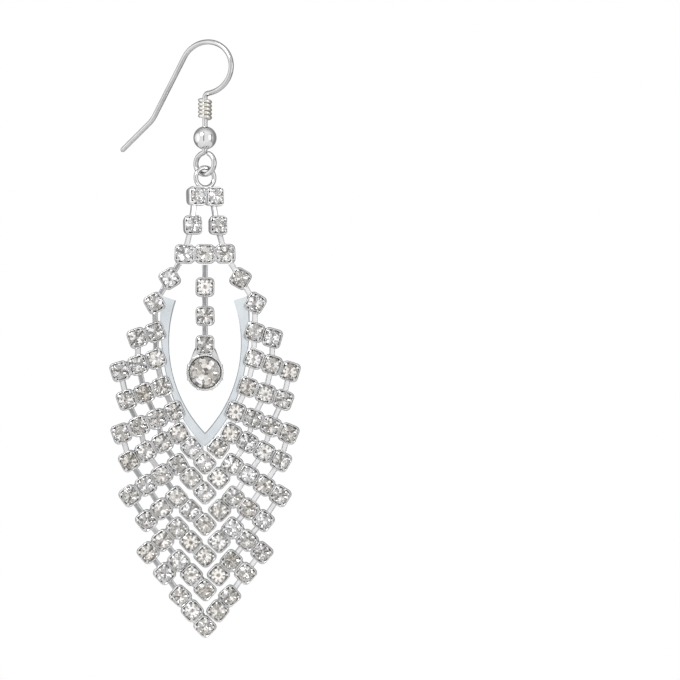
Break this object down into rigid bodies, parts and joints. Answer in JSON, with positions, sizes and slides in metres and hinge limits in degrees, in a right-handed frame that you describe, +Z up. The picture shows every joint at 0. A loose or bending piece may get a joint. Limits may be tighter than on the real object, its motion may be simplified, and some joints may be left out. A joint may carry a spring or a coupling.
{
  "type": "chandelier earring",
  "caption": "Leaf-shaped rhinestone cup-chain drop earring with an open centre, a dangling round stone and a fish-hook ear wire with coil and bead.",
  "frame": {"origin": "inside top of the ear wire's bend, where it hangs in the ear", "axes": "+Z up, -Y is the way the stones face, +X to the viewer's right"},
  "size_m": [0.0246, 0.0095, 0.0765],
  "materials": {
    "wire": "bright silver plate",
    "bead": "mirror-polished silver plate",
    "setting": "bright silver plate, stamped cups and flat links",
    "band": "satin pale silver plate",
    "crystal": "clear faceted glass with a foiled back"
  },
  "bodies": {
    "hook": {"ear_wire": "wire", "wire_coil": "wire", "ball_bead": "bead"},
    "drop": {"crown_ladder": "setting", "leaf_left": "setting", "leaf_right": "setting", "inner_band": "band", "centre_strand": "setting", "drop_crystal": "crystal"}
  },
  "joints": [
    {"name": "drop_swing", "type": "hinge", "parent": "hook", "child": "drop", "pos_m": [0, 0, -0.01663], "axis": [0.848, -0.5299, 0], "range_deg": [-35, 35]}
  ]
}
